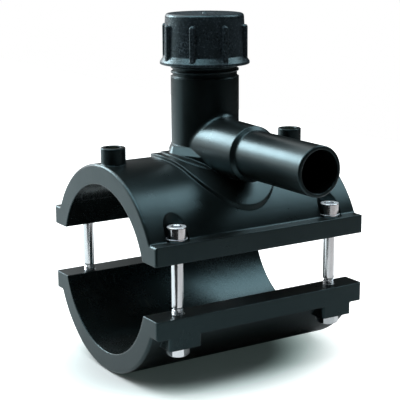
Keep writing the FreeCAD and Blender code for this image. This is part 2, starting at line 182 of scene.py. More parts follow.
class StudioSettings(bpy.types.PropertyGroup):
    azimuth: turn_property("Azimuth", "Side from which the camera looks", -31.981)
    elevation: turn_property("Elevation", "Height angle of the camera", 12.623)
    roll: turn_property("Roll", "Tilt of the camera round its line of sight", -0.388)
    distance: length_property("Distance", "Distance from the camera to its aim", 0.655497)
    aim_right: length_property("Aim right", "Shift of the aim to the picture's right", -0.0032127)
    aim_up: length_property("Aim up", "Shift of the aim to the picture's top", 0.0284811)
    lens: FloatProperty(name="Lens", description="Focal length on a 36 mm sensor", default=106.98,
                        unit="CAMERA")
    side_power: power_property("Side power", "Power of the lamp above on the right", 5.8)
    top_power: power_property("Top power", "Power of the broad lamp overhead", 7.6)
    rear_power: power_property("Rear power", "Power of the small lamp behind on the left", 6.6)
    ambient: FloatProperty(name="Ambient", description="Strength of the light from all round",
                           default=0.015, min=0.0)
    backdrop: FloatProperty(name="Backdrop", description="Strength of the light from the wall behind",
                            default=2.2, min=0.0)


SETTINGS = {
    "saddle_chimney_thread": ChimneyThreadSettings,
    "saddle_cap": CapSettings,
    "saddle_fasteners": FastenerSettings,
    "saddle_cutter": CutterSettings,
    "saddle_finish": FinishSettings,
    "saddle_studio": StudioSettings,
}


# Node helpers

def add_node(tree, kind, links=(), settings=(), **values):
    """One node with its settings, fixed socket values and incoming links given by socket name."""
    node = tree.nodes.new(kind)
    for name, value in dict(settings).items():
        setattr(node, name, value)
    for name, value in values.items():
        node.inputs[name.replace("_", " ")].default_value = value
    for name, source in dict(links).items():
        target = node.inputs[name]
        tree.links.new(source, target)
    return node


def math_node(tree, operation, first, second=None):
    """A Math node whose operands are sockets or plain numbers."""
    node = tree.nodes.new("ShaderNodeMath")
    node.operation = operation
    for slot, value in zip(node.inputs, (first, second)):
        if isinstance(value, bpy.types.NodeSocket):
            tree.links.new(value, slot)
        elif value is not None:
            slot.default_value = value
    return node.outputs[0]


def new_material(name):
    """An empty node material with its Principled shader wired to the output."""
    material = bpy.data.materials.new(name)
    material.use_nodes = True
    tree = material.node_tree
    tree.nodes.clear()
    shader = tree.nodes.new("ShaderNodeBsdfPrincipled")
    output = tree.nodes.new("ShaderNodeOutputMaterial")
    tree.links.new(shader.outputs["BSDF"], output.inputs["Surface"])
    return material, tree, shader


def noise(tree, coordinates, size, detail=2.0, roughness=0.5):
    """Noise whose features are about the given size in metres."""
    return add_node(tree, "ShaderNodeTexNoise", {"Vector": coordinates}, Scale=1.0 / size, Detail=detail,
                    Roughness=roughness)


def ranged(tree, source, low, high, start=0.3, end=0.7):
    """The source's values from start to end, spread over low to high."""
    node = add_node(tree, "ShaderNodeMapRange", {"Value": source}, From_Min=start, From_Max=end, To_Min=low,
                    To_Max=high)
    return node.outputs["Result"]


def tinted(tree, factor, first, second):
    """Colour mix from first to second."""
    node = tree.nodes.new("ShaderNodeMix")
    node.data_type = "RGBA"
    tree.links.new(factor, node.inputs["Factor"])
    for slot, value in ((node.inputs[6], first), (node.inputs[7], second)):
        if isinstance(value, bpy.types.NodeSocket):
            tree.links.new(value, slot)
        else:
            slot.default_value = value
    return node.outputs[2]


def seen_by_eye(tree):
    """One for camera rays, straight or through glass, and nought for the light's own paths."""
    path = tree.nodes.new("ShaderNodeLightPath")
    return math_node(tree, "MAXIMUM", path.outputs["Is Camera Ray"], path.outputs["Is Transmission Ray"])


def scaled_colour(colour, factor, shift=(0.0, 0.0, 0.0)):
    return tuple(max(0.0, channel * factor + offset) for channel, offset in zip(colour[:3], shift)) + (1.0,)


# Materials

def bore_scuffs(tree, place, radius):
    """Masks of the bore within a radius of the pipe axis and of the fine scuffs that run round in it."""
    split = tree.nodes.new("ShaderNodeSeparateXYZ")
    tree.links.new(place, split.inputs[0])
    cross = add_node(tree, "ShaderNodeCombineXYZ", {"Y": split.outputs["Y"], "Z": split.outputs["Z"]})
    reach = add_node(tree, "ShaderNodeVectorMath", {"Vector": cross.outputs[0]}, {"operation": "LENGTH"})
    bore = math_node(tree, "LESS_THAN", reach.outputs["Value"], radius)
    stretch = add_node(tree, "ShaderNodeMapping", {"Vector": place})
    stretch.inputs["Scale"].default_value = (1.0, 0.05, 0.05)
    lines = noise(tree, stretch.outputs["Vector"], 0.0006, 2.0, 0.6)
    patches = noise(tree, place, 0.017, 2.0, 0.6)
    scuffs = math_node(tree, "MULTIPLY", ranged(tree, lines.outputs[0], 0.0, 1.0, 0.55, 0.72),
                       ranged(tree, patches.outputs[0], 0.0, 1.0, 0.52, 0.66))
    return bore, math_node(tree, "MULTIPLY", scuffs, bore)


def moulded_plastic(name, colour, gloss, grain_size, grain_depth, edge_radius, bore_radius=0.0, speck=0.0):
    """Injection-moulded polyethylene: slight flow waves, fine grain and rounded edges, painted lighter as
    rubbed wear and a painted highlight.

    Within the bore radius of the pipe axis it is glossier, with scuffs.
    """
    material, tree, shader = new_material(name)
    place = tree.nodes.new("ShaderNodeTexCoord").outputs["Object"]
    grain = noise(tree, place, grain_size, 3.0, 0.6)
    waves = noise(tree, place, WAVE_SIZE, 2.0, 0.45)
    flow = noise(tree, place, FLOW_SIZE, 3.0, 0.5)
    rub_and_highlight_patches = noise(tree, place, RUB_AND_HIGHLIGHT_PATCH_SIZE, 4.0, 0.7)
    rounded_edge = add_node(tree, "ShaderNodeBevel", settings={"samples": 6}, Radius=edge_radius)
    geometry = tree.nodes.new("ShaderNodeNewGeometry")
    facing = add_node(tree, "ShaderNodeVectorMath", settings={"operation": "DOT_PRODUCT"})
    tree.links.new(geometry.outputs["Normal"], facing.inputs[0])
    tree.links.new(rounded_edge.outputs["Normal"], facing.inputs[1])
    # Painted highlight with rubbed wear: the edges are painted lighter, most where they face up, in patches
    edge = ranged(tree, facing.outputs["Value"], 1.0, 0.0, 0.80, 0.995)
    edge = math_node(tree, "MULTIPLY", edge, ranged(tree, rub_and_highlight_patches.outputs[0], 0.35, 1.0))
    upward = add_node(tree, "ShaderNodeSeparateXYZ", {"Vector": rounded_edge.outputs["Normal"]})
    edge = math_node(tree, "MULTIPLY", edge, ranged(tree, upward.outputs["Z"], 0.15, 1.0, 0.2, 0.7))
    cloud = ranged(tree, flow.outputs[0], 0.0, 1.0)
    base = tinted(tree, cloud, scaled_colour(colour, 0.82), scaled_colour(colour, 1.22))
    # The edges' lighter, teal colour is a painted highlight as well as rubbed wear
    base = tinted(tree, edge, base, scaled_colour(colour, 2.0, (0.055, 0.066, 0.070)))
    sparkle = math_node(tree, "MULTIPLY", ranged(tree, grain.outputs[0], 0.0, 1.0, 0.55, 0.68), speck)
    base = tinted(tree, sparkle, base, scaled_colour(colour, 5.0))
    bore, scuffs = bore_scuffs(tree, place, bore_radius)
    base = tinted(tree, scuffs, base, scaled_colour(colour, 7.0, (0.015, 0.015, 0.017)))
    tree.links.new(base, shader.inputs["Base Color"])
    shader.inputs["Specular IOR Level"].default_value = 0.60
    shader.inputs["Specular Tint"].default_value = (0.56, 0.92, 1.0, 1.0)
    low, high = gloss
    sheen = math_node(tree, "ADD", ranged(tree, grain.outputs[0], low, high),
                      ranged(tree, waves.outputs[0], -0.03, 0.03))
    sheen = math_node(tree, "ADD", sheen, math_node(tree, "MULTIPLY", bore, -0.05))
    tree.links.new(sheen, shader.inputs["Roughness"])
    wave_bump = add_node(tree, "ShaderNodeBump", {"Height": waves.outputs[0],
                                                  "Normal": rounded_edge.outputs["Normal"]},
                         Strength=1.0, Distance=WAVE_DEPTH)
    flow_bump = add_node(tree, "ShaderNodeBump", {"Height": flow.outputs[0],
                                                  "Normal": wave_bump.outputs["Normal"]},
                         Strength=1.0, Distance=WAVE_DEPTH * 0.18)
    grain_bump = add_node(tree, "ShaderNodeBump", {"Height": grain.outputs[0],
                                                   "Normal": flow_bump.outputs["Normal"]},
                          Strength=1.0, Distance=grain_depth)
    tree.links.new(grain_bump.outputs["Normal"], shader.inputs["Normal"])
    shader.inputs["IOR"].default_value = 1.5
    return material


def plated_metal(name, colour, roughness, tint, streak, level_roughness):
    """Plated or turned metal with faint streaks and a clouded tint, duller where it faces up or down."""
    material, tree, shader = new_material(name)
    place = tree.nodes.new("ShaderNodeTexCoord").outputs["Object"]
    stretch = add_node(tree, "ShaderNodeMapping", {"Vector": place})
    stretch.inputs["Scale"].default_value = streak
    lines = noise(tree, stretch.outputs["Vector"], 0.0004, 3.0, 0.6)
    cloud = noise(tree, place, 0.004, 3.0, 0.55)
    base = tinted(tree, ranged(tree, cloud.outputs[0], 0.0, 1.0), colour, tint)
    tree.links.new(base, shader.inputs["Base Color"])
    shader.inputs["Metallic"].default_value = 1.0
    low, high = roughness
    level = tree.nodes.new("ShaderNodeSeparateXYZ")
    tree.links.new(tree.nodes.new("ShaderNodeTexCoord").outputs["Normal"], level.inputs[0])
    level = ranged(tree, math_node(tree, "ABSOLUTE", level.outputs["Z"]), 0.0, level_roughness, 0.6, 0.95)
    dull = math_node(tree, "ADD", ranged(tree, lines.outputs[0], low, high), level)
    tree.links.new(dull, shader.inputs["Roughness"])
    bump = add_node(tree, "ShaderNodeBump", {"Height": lines.outputs[0]}, Strength=0.5, Distance=0.000006)
    tree.links.new(bump.outputs["Normal"], shader.inputs["Normal"])
    return material


def sealing_rubber(name, colour):
    """Dull moulded rubber with a bloom of fine dust."""
    material, tree, shader = new_material(name)
    place = tree.nodes.new("ShaderNodeTexCoord").outputs["Object"]
    dust = noise(tree, place, 0.0012, 5.0, 0.65)
    base = tinted(tree, ranged(tree, dust.outputs[0], 0.0, 1.0), colour,
                  scaled_colour(colour, 1.6, (0.01, 0.01, 0.01)))
    tree.links.new(base, shader.inputs["Base Color"])
    tree.links.new(ranged(tree, dust.outputs[0], 0.5, 0.75), shader.inputs["Roughness"])
    bump = add_node(tree, "ShaderNodeBump", {"Height": dust.outputs[0]}, Strength=0.6, Distance=0.00004)
    tree.links.new(bump.outputs["Normal"], shader.inputs["Normal"])
    return material


def finish_material(kind):
    """The named finish, built once and shared by every piece that has it."""
    existing = bpy.data.materials.get(kind)
    if existing is not None:
        return existing
    colours = bpy.context.scene.saddle_finish
    if kind == "moulded_body":
        return moulded_plastic(kind, tuple(colours.plastic), (0.29, 0.34), 0.0009, 0.000004, 0.0010,
                               bore_radius=0.0455)
    if kind == "moulded_cap":
        return moulded_plastic(kind, tuple(colours.cap), (0.25, 0.35),
                               bpy.context.scene.saddle_cap.grain_size, 0.00014, 0.0005, speck=0.8)
    if kind in METALS:
        setting, *looks = METALS[kind]
        return plated_metal(kind, tuple(getattr(colours, setting)), *looks)
    return sealing_rubber(kind, tuple(colours.rubber))


def dress_node(node, kind):
    """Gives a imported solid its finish. Its mesh and place stay as they are."""
    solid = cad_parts[node]
    solid.data.materials.clear()
    solid.data.materials.append(finish_material(kind))


# Mesh helpers

def rounded_outline(corners, steps=4):
    """Outline of (radius, height, round) corners with each corner's round worked in.

    A point close to each end of a round keeps the faces beside it flat or straight under smooth shading.
    """
    points = []
    for index, (x, z, size) in enumerate(corners):
        here = Vector((x, z))
        if size <= 0.0 or index in (0, len(corners) - 1):
            points.append((x, z))
            continue
        before = (Vector(corners[index - 1][:2]) - here).normalized()
        after = (Vector(corners[index + 1][:2]) - here).normalized()
        half = before.angle(after) / 2
        reach = size / math.tan(half)
        centre = here + (before + after).normalized() * (size / math.sin(half))
        start = here + before * reach - centre
        end = here + after * reach - centre
        sweep = start.angle_signed(end)
        points.append(tuple(here + before * (reach + size * 0.12)))
        for step in range(steps + 1):
            turn = Matrix.Rotation(-sweep * step / steps, 2)
            spot = centre + turn @ start
            points.append((spot.x, spot.y))
        points.append(tuple(here + after * (reach + size * 0.12)))
    return points


def hexagon_reach(flat, angle):
    """Distance from the middle of a hexagon with this half width over flats to its outline."""
    return flat / math.cos((angle + math.pi / 6) % (math.pi / 3) - math.pi / 6)


def lathe(points, segments, centre=(0.0, 0.0)):
    """A form turned round an upright axis from an outline of (radius, height)."""
    form = bmesh.new()
    rings = []
    angles = [2 * math.pi * step / segments for step in range(segments)]
    for radius, height in points:
        if radius == 0.0:
            rings.append([form.verts.new((centre[0], centre[1], height))])
            continue
        rings.append([form.verts.new((centre[0] + radius * math.cos(angle),
                                      centre[1] + radius * math.sin(angle), height)) for angle in angles])
    for lower, upper in zip(rings, rings[1:]):
        for step in range(segments):
            after = (step + 1) % segments
            if len(lower) == 1:
                form.faces.new((lower[0], upper[after], upper[step]))
            elif len(upper) == 1:
                form.faces.new((lower[step], lower[after], upper[0]))
            else:
                form.faces.new((lower[step], lower[after], upper[after], upper[step]))
    bmesh.ops.recalc_face_normals(form, faces=form.faces)
    return form


def bored_hexagon(outer_points, width, depth_top, depth, segments, centre):
    """A turned head with a hexagonal key socket sunk into its top.

    The outline runs from the axis at the bottom round to the edge of the flat top. The top is a band between
    that edge and the socket's mouth, so the socket's walls are real faces.
    """
    form = lathe(outer_points, segments, centre=centre)
    form.verts.ensure_lookup_table()
    rim = list(form.verts)[-segments:]
    offset = Vector((centre[0], centre[1], 0.0))

    def bearing(vert):
        flat = vert.co - offset
        return math.atan2(flat.y, flat.x) % (2 * math.pi)

    rim.sort(key=bearing)
    bevel = width * 0.04
    cone = width * 0.12
    loops = []
    for grow, height in ((bevel, depth_top), (0.0, depth_top - bevel), (0.0, depth_top - depth)):
        loop = []
        for step in range(segments):
            angle = bearing(rim[step])
            radius = hexagon_reach(width / 2, angle) + grow
            loop.append(form.verts.new((centre[0] + radius * math.cos(angle),
                                        centre[1] + radius * math.sin(angle), height)))
        loops.append(loop)
    rings = [rim] + loops
    for outer, inner in zip(rings, rings[1:]):
        for step in range(segments):
            after = (step + 1) % segments
            form.faces.new((outer[step], outer[after], inner[after], inner[step]))
    floor = form.verts.new((centre[0], centre[1], depth_top - depth - cone))
    for step in range(segments):
        form.faces.new((loops[-1][step], loops[-1][(step + 1) % segments], floor))
    bmesh.ops.recalc_face_normals(form, faces=form.faces)
    return form


def smooth(mesh, sharp):
    """Smooth faces, with edges past the angle kept sharp."""
    mesh.shade_smooth()
    mesh.set_sharp_from_angle(angle=math.radians(sharp))


def make_object(name, form, material, sharp=32.0):
    """Turns a bmesh into an object at the origin with smooth faces and sharp corners kept."""
    mesh = bpy.data.meshes.new(name)
    form.to_mesh(mesh)
    form.free()
    mesh.materials.append(material)
    smooth(mesh, sharp)
    piece = bpy.data.objects.new(name, mesh)
    bpy.context.scene.collection.objects.link(piece)
    return piece


def settle(piece, body, nodes=()):
    """Hangs a piece under the empty of the body that carries it, and hides the solids that it stands for."""
    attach(piece, body)
    if nodes:
        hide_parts(*nodes)


def bake_modifier(piece, modifier, material, sharp=32.0):
    """Replaces a piece's mesh by its evaluated one and takes the modifier away."""
    graph = bpy.context.evaluated_depsgraph_get()
    graph.update()
    mesh = bpy.data.meshes.new_from_object(piece.evaluated_get(graph))
    piece.modifiers.remove(modifier)
    mesh.name = piece.name
    piece.data = mesh
    mesh.materials.clear()
    mesh.materials.append(material)
    smooth(mesh, sharp)
    if not mesh.polygons:
        raise RuntimeError(piece.name + " came out empty")


def empty_form(name):
    piece = bpy.data.objects.new(name, bpy.data.meshes.new(name))
    bpy.context.scene.collection.objects.link(piece)
    return piece


def run_tree(piece, tree, material, values, sharp=32.0):
    """Runs a node tree on a piece with the given input values and keeps the result as a plain mesh."""
    modifier = piece.modifiers.new(tree.name, "NODES")
    modifier.node_group = tree
    for item in tree.interface.items_tree:
        if item.item_type == "SOCKET" and item.in_out == "INPUT" and item.name in values:
            modifier[item.identifier] = values[item.name]
    bake_modifier(piece, modifier, material, sharp)


# Geometry node trees

def new_tree(name, inputs):
    """A geometry tree with named inputs. Returns the tree and its input node."""
    tree = bpy.data.node_groups.new(name, "GeometryNodeTree")
    tree.is_modifier = True
    tree.interface.new_socket("Geometry", in_out="INPUT", socket_type="NodeSocketGeometry")
    for label, kind, default in inputs:
        socket = tree.interface.new_socket(label, in_out="INPUT", socket_type="NodeSocket" + kind)
        if default is not None:
            socket.default_value = default
    tree.interface.new_socket("Geometry", in_out="OUTPUT", socket_type="NodeSocketGeometry")
    return tree, tree.nodes.new("NodeGroupInput")


def close_tree(tree, given, geometry):
    """Ends a tree in Realize Instances and Set Material."""
    whole = add_node(tree, "GeometryNodeRealizeInstances", {"Geometry": geometry})
    coloured = add_node(tree, "GeometryNodeSetMaterial", {"Geometry": whole.outputs["Geometry"],
                                                          "Material": given.outputs["Material"]})
    output = tree.nodes.new("NodeGroupOutput")
    tree.links.new(coloured.outputs["Geometry"], output.inputs["Geometry"])


def thread_tree():
    """A helical ridge of trapezoid section that fades out at both ends."""
    name = "screw_thread"
    if name in bpy.data.node_groups:
        return bpy.data.node_groups[name]
    tree, given = new_tree(name, [("Radius", "Float", 0.01), ("Depth", "Float", 0.001),
                                  ("Pitch", "Float", 0.002), ("Turns", "Float", 5.0),
                                  ("Start Height", "Float", 0.0),
                                  ("Base Width", "Float", 0.0015), ("Crest Width", "Float", 0.0006),
                                  ("Phase", "Float", 0.0), ("Centre", "Vector", (0.0, 0.0, 0.0)),
                                  ("Steps", "Int", 40), ("Material", "Material", None)])
    height = math_node(tree, "MULTIPLY", given.outputs["Pitch"], given.outputs["Turns"])
    spiral = add_node(tree, "GeometryNodeCurveSpiral", {"Resolution": given.outputs["Steps"],
                                                        "Rotations": given.outputs["Turns"],
                                                        "Start Radius": given.outputs["Radius"],
                                                        "End Radius": given.outputs["Radius"],
                                                        "Height": height}, Reverse=True)
    shift = add_node(tree, "ShaderNodeCombineXYZ", {"Z": given.outputs["Start Height"]})
    place = add_node(tree, "ShaderNodeVectorMath", settings={"operation": "ADD"})
    tree.links.new(shift.outputs[0], place.inputs[0])
    tree.links.new(given.outputs["Centre"], place.inputs[1])
    turn = add_node(tree, "ShaderNodeCombineXYZ", {"Z": given.outputs["Phase"]})
    moved = add_node(tree, "GeometryNodeTransform", {"Geometry": spiral.outputs["Curve"],
                                                     "Translation": place.outputs[0],
                                                     "Rotation": turn.outputs[0]})
    along = tree.nodes.new("GeometryNodeSplineParameter").outputs["Factor"]
    from_start = math_node(tree, "MULTIPLY", along, given.outputs["Turns"])
    from_end = math_node(tree, "SUBTRACT", given.outputs["Turns"], from_start)
    nearer = math_node(tree, "MINIMUM", from_start, from_end)
    fade = add_node(tree, "ShaderNodeMapRange", {"Value": nearer}, From_Min=0.0, From_Max=0.35, To_Min=0.12,
                    To_Max=1.0)
    sized = add_node(tree, "GeometryNodeSetCurveRadius", {"Curve": moved.outputs["Geometry"],
                                                          "Radius": fade.outputs["Result"]})
    upright = add_node(tree, "GeometryNodeSetCurveNormal", {"Curve": sized.outputs["Curve"]},
                       settings={"mode": "Z_UP"})
    section = add_node(tree, "GeometryNodeCurvePrimitiveQuadrilateral",
                       {"Height": given.outputs["Depth"], "Bottom Width": given.outputs["Base Width"],
                        "Top Width": given.outputs["Crest Width"]}, {"mode": "TRAPEZOID"}, Offset=0.0)
    half = math_node(tree, "MULTIPLY", given.outputs["Depth"], 0.5)
    outward = add_node(tree, "ShaderNodeCombineXYZ", {"Y": half})
    section_place = add_node(tree, "GeometryNodeTransform", {"Geometry": section.outputs["Curve"],
                                                             "Translation": outward.outputs[0]})
    section_turn = add_node(tree, "GeometryNodeTransform", {"Geometry": section_place.outputs["Geometry"]})
    section_turn.inputs["Rotation"].default_value = (0.0, 0.0, math.radians(-90.0))
    ridge = add_node(tree, "GeometryNodeCurveToMesh", {"Curve": upright.outputs["Curve"],
                                                       "Profile Curve": section_turn.outputs["Geometry"]})
    ridge.inputs["Fill Caps"].default_value = True
    close_tree(tree, given, ridge.outputs["Mesh"])
    return tree


def ring_tree():
    """Copies of the piece's own mesh, spread evenly round the Z axis through its centre."""
    name = "ring_of_copies"
    if name in bpy.data.node_groups:
        return bpy.data.node_groups[name]
    tree, given = new_tree(name, [("Count", "Int", 8), ("Phase", "Float", 0.0),
                                  ("Material", "Material", None)])
    points = add_node(tree, "GeometryNodePoints", {"Count": given.outputs["Count"]})
    index = tree.nodes.new("GeometryNodeInputIndex").outputs["Index"]
    share = math_node(tree, "DIVIDE", index, given.outputs["Count"])
    angle = math_node(tree, "ADD", math_node(tree, "MULTIPLY", share, 2 * math.pi), given.outputs["Phase"])
    turn = add_node(tree, "ShaderNodeCombineXYZ", {"Z": angle})
    copies = add_node(tree, "GeometryNodeInstanceOnPoints", {"Points": points.outputs[0],
                                                             "Instance": given.outputs["Geometry"],
                                                             "Rotation": turn.outputs[0]})
    close_tree(tree, given, copies.outputs["Instances"])
    return tree


def grid_tree():
    """Four copies of the piece's own mesh at the corners of a rectangle."""
    name = "corner_copies"
    if name in bpy.data.node_groups:
        return bpy.data.node_groups[name]
    tree, given = new_tree(name, [("Length", "Float", 0.1), ("Width", "Float", 0.1),
                                  ("Material", "Material", None)])
    grid = add_node(tree, "GeometryNodeMeshGrid", {"Size X": given.outputs["Length"],
                                                   "Size Y": given.outputs["Width"]})
    grid.inputs["Vertices X"].default_value = 2
    grid.inputs["Vertices Y"].default_value = 2
    copies = add_node(tree, "GeometryNodeInstanceOnPoints", {"Points": grid.outputs["Mesh"],
                                                             "Instance": given.outputs["Geometry"]})
    close_tree(tree, given, copies.outputs["Instances"])
    return tree


def make_thread(name, material, values, sharp=50.0):
    """A thread ridge as its own object. Its crest points away from the axis."""
    piece = empty_form(name)
    run_tree(piece, thread_tree(), material, {**values, "Material": material}, sharp)
    return piece


def joined(first, second, sharp=34.0):
    """Adds the second object's mesh to the first and deletes the second."""
    form = bmesh.new()
    form.from_mesh(first.data)
    form.from_mesh(second.data)
    form.to_mesh(first.data)
    form.free()
    bpy.data.objects.remove(second)
    smooth(first.data, sharp)
    return first


# Operators

class SADDLE_OT_mouldings(bpy.types.Operator):
    """Finish the upper saddle moulding and the lower clamp"""
    bl_idname = "saddle.mouldings"
    bl_label = "Mouldings"

    def execute(self, context):
        dress_node("saddle_body", "moulded_body")
        dress_node("lower_clamp", "moulded_body")
        return {"FINISHED"}


class SADDLE_OT_fusion_face(bpy.types.Operator):
    """Finish the fusion mat, its heating wire and the terminal pins"""
    bl_idname = "saddle.fusion_face"
    bl_label = "Fusion face"

    def execute(self, context):
        dress_node("fusion_mat", "moulded_body")
        dress_node("heating_wire", "heating_wire")
        dress_node("terminal_pin_left", "turned_brass")
        dress_node("terminal_pin_right", "turned_brass")
        return {"FINISHED"}


class SADDLE_OT_chimney_thread(bpy.types.Operator):
    """Wind the cap thread round the top of the chimney"""
    bl_idname = "saddle.chimney_thread"
    bl_label = "Chimney thread"

    def execute(self, context):
        sizes = context.scene.saddle_chimney_thread
        turns = math.floor((BODY_TOP - sizes.start_height - sizes.pitch) / sizes.pitch * 2) / 2
        piece = make_thread("chimney_thread", finish_material("moulded_body"), {
            "Radius": sizes.core_radius, "Depth": sizes.depth, "Pitch": sizes.pitch, "Turns": turns,
            "Start Height": sizes.start_height + sizes.pitch * 0.5, "Base Width": sizes.pitch * 0.66,
            "Crest Width": sizes.pitch * 0.3, "Steps": 56})
        settle(piece, "saddle")
        return {"FINISHED"}


class SADDLE_OT_cap(bpy.types.Operator):
    """Build the ribbed screw cap with its flared rim and inner thread"""
    bl_idname = "saddle.cap"
    bl_label = "Cap"

    def execute(self, context):
        sizes = context.scene.saddle_cap
        thread = context.scene.saddle_chimney_thread
        plastic = finish_material("moulded_cap")
        low = CAP_LOW[2]
        top = BODY_TOP + sizes.head_rise
        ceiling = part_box("cap_gasket")[1][2] + 0.0001
        inner = thread.core_radius + thread.depth + 0.00025
        body = sizes.body_radius
        # Radius, height and round of each corner, from the ceiling down, over the rim and up to the pip
        corners = [(0.0, ceiling, 0.0), (inner, ceiling, 0.0006), (inner, low + 0.0016, 0.0003),
                   (inner + 0.0012, low, 0.0003), (sizes.rim_radius, low, 0.00045),
                   (sizes.rim_radius, low + 0.0014, 0.0004), (body + 0.0006, low + 0.0046, 0.0009),
                   (body + 0.0001, top - 0.0054, 0.0004), (body - 0.0001, top - 0.0016, 0.0),
                   (body - 0.0002, top, 0.0017), (0.0052, top - 0.0001, 0.0002),
                   (0.0040, top - 0.0003, 0.0006), (0.0013, top - 0.0002, 0.0002),
                   (0.0010, top + 0.0003, 0.0002), (0.0, top + 0.00035, 0.0)]
        shell = make_object("screw_cap", lathe(rounded_outline(corners, 5), 128), plastic)
        rib = self.rib_form(sizes, low, top)
        ribs = make_object("cap_ribs", rib, plastic)
        run_tree(ribs, ring_tree(), plastic, {"Count": sizes.rib_count, "Phase": sizes.rib_phase,
                                              "Material": plastic})
        shell = joined(shell, ribs)
        turns = math.floor((ceiling - low - 2.5 * thread.pitch) / thread.pitch * 2) / 2
        inner_thread = make_thread("cap_thread", plastic, {
            "Radius": inner, "Depth": -thread.depth, "Pitch": thread.pitch, "Turns": turns,
            "Start Height": low + thread.pitch, "Base Width": thread.pitch * 0.62,
            "Crest Width": thread.pitch * 0.26, "Steps": 56})
        shell = joined(shell, inner_thread)
        settle(shell, "cap", ["cap"])
        dress_node("cap_gasket", "seal_rubber")
        return {"FINISHED"}

    def rib_form(self, sizes, low, top):
        """One upright grip rib with a round head, along +X."""
        form = bmesh.new()
        foot = low + 0.0012
        head = top - sizes.rib_gap
        half = sizes.rib_width / 2
        back = sizes.body_radius - 0.0012
        front = sizes.body_radius + sizes.rib_stand
        outline = [(-half, foot), (half, foot)]
        for step in range(9):
            angle = math.pi * step / 8
            outline.append((half * math.cos(angle), head - half + half * math.sin(angle)))
        layers = []
        for x, shrink in ((back, 0.0), (front - 0.0007, 0.0), (front - 0.00035, 0.00012), (front, 0.0006)):
            layer = []
            for y, z in outline:
                centre_z = min(z, head - half)
                drop = Vector((y, z - centre_z))
                length = drop.length
                factor = (length - shrink) / length if length > shrink else 0.0
                layer.append(form.verts.new((x, drop.x * factor, centre_z + drop.y * factor)))
            layers.append(layer)
        count = len(outline)
        for inner_layer, outer_layer in zip(layers, layers[1:]):
            for step in range(count):
                after = (step + 1) % count
                form.faces.new((inner_layer[step], inner_layer[after], outer_layer[after], outer_layer[step]))
        form.faces.new(layers[-1])
        form.faces.new(list(reversed(layers[0])))
        bmesh.ops.recalc_face_normals(form, faces=form.faces)
        return form


class SADDLE_OT_cutter(bpy.types.Operator):
    """Build the tapping cutter and finish its guide and sealing ring"""
    bl_idname = "saddle.cutter"
    bl_label = "Tapping cutter"

    def execute(self, context):
        sizes = context.scene.saddle_cutter
        steel = finish_material("cutter_steel")
        low = CUTTER_LOW[2]
        top = CUTTER_HIGH[2]
        crest = (CUTTER_HIGH[0] - CUTTER_LOW[0]) / 2
        core = crest - sizes.depth
        blade = crest - 0.00015
        seal_low, seal_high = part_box("cutter_seal")
        groove_low = seal_low[2] - 0.00015
        groove_high = seal_high[2] + 0.00015
        neck = (seal_high[0] - seal_low[0]) / 2 - 0.0019
        wall = 0.0018
        corners = [(0.0, low + 0.0095, 0.0), (blade - wall, low + 0.0095, 0.0008), (blade - wall, low, 0.0),
                   (blade - 0.0002, low, 0.0), (blade, low + 0.0002, 0.0), (blade, groove_low, 0.0002),
                   (neck, groove_low, 0.0002), (neck, groove_high, 0.0002), (crest, groove_high, 0.0002),
                   (crest, groove_high + 0.0012, 0.0), (core, groove_high + 0.0019, 0.0002),
                   (core, top - 0.0022, 0.0002), (crest, top - 0.0016, 0.0002), (crest, top, 0.0004),
                   (crest - 0.0008, top, 0.0)]
        form = bored_hexagon(rounded_outline(corners, 3), sizes.key_width, top, 0.012, 96, (0.0, 0.0))
        self.cut_teeth(form, sizes, low, blade, wall)
        cutter = make_object("cutter", form, steel)
        length = top - 0.0026 - (groove_high + 0.0022)
        thread = make_thread("cutter_thread", steel, {
            "Radius": core, "Depth": sizes.depth, "Pitch": sizes.pitch, "Turns": length / sizes.pitch,
            "Start Height": groove_high + 0.0022, "Base Width": sizes.pitch * 0.8,
            "Crest Width": sizes.pitch * 0.2, "Steps": 44})
        cutter = joined(cutter, thread)
        settle(cutter, "cutter", ["tapping_cutter"])
        dress_node("cutter_guide", "turned_brass")
        dress_node("cutter_seal", "seal_rubber")
        return {"FINISHED"}

    def cut_teeth(self, form, sizes, low, blade, wall):
        """Lifts the cup's lower edge between the teeth."""
        for vert in form.verts:
            radius = math.hypot(vert.co.x, vert.co.y)
            if vert.co.z < low + 0.0003 and radius > blade - wall - 0.0002:
                share = (math.atan2(vert.co.y, vert.co.x) / (2 * math.pi) * sizes.tooth_count) % 1.0
                vert.co.z += 0.002 * share


class SADDLE_OT_screws(bpy.types.Operator):
    """Build the four clamp screws with their socket heads and threaded ends"""
    bl_idname = "saddle.screws"
    bl_label = "Clamp screws"

    def execute(self, context):
        for corner in CORNERS:
            self.build_screw(context, corner)
        return {"FINISHED"}

    def build_screw(self, context, corner):
        sizes = context.scene.saddle_fasteners
        zinc = finish_material("zinc_plate")
        low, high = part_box("screw_" + corner)
        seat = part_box("washer_" + corner)[1][2]
        centre = ((low[0] + high[0]) / 2, (low[1] + high[1]) / 2)
        head = (high[0] - low[0]) / 2
        shank = 0.003
        core = shank - sizes.thread_depth
        thread_top = low[2] + sizes.thread_length
        corners = [(0.0, low[2], 0.0), (core - 0.0004, low[2], 0.0), (core, low[2] + 0.0005, 0.0),
                   (core, thread_top, 0.0), (shank, thread_top + 0.0008, 0.0003), (shank, seat, 0.0003),
                   (head, seat, 0.0002), (head, high[2], 0.00045), (head - 0.0009, high[2], 0.0)]
        form = bored_hexagon(rounded_outline(corners, 3), sizes.key_width, high[2], 0.003, 60, centre)
        screw = make_object("clamp_screw_" + corner, form, zinc)
        thread = make_thread("screw_thread_" + corner, zinc, {
            "Radius": core, "Depth": sizes.thread_depth - 0.00002, "Pitch": sizes.thread_pitch,
            "Turns": (sizes.thread_length - 0.0008) / sizes.thread_pitch, "Start Height": low[2] + 0.0005,
            "Centre": (centre[0], centre[1], 0.0), "Base Width": sizes.thread_pitch * 0.86,
            "Crest Width": sizes.thread_pitch * 0.16, "Steps": 20})
        screw = joined(screw, thread)
        settle(screw, "screw_" + corner, ["screw_" + corner])


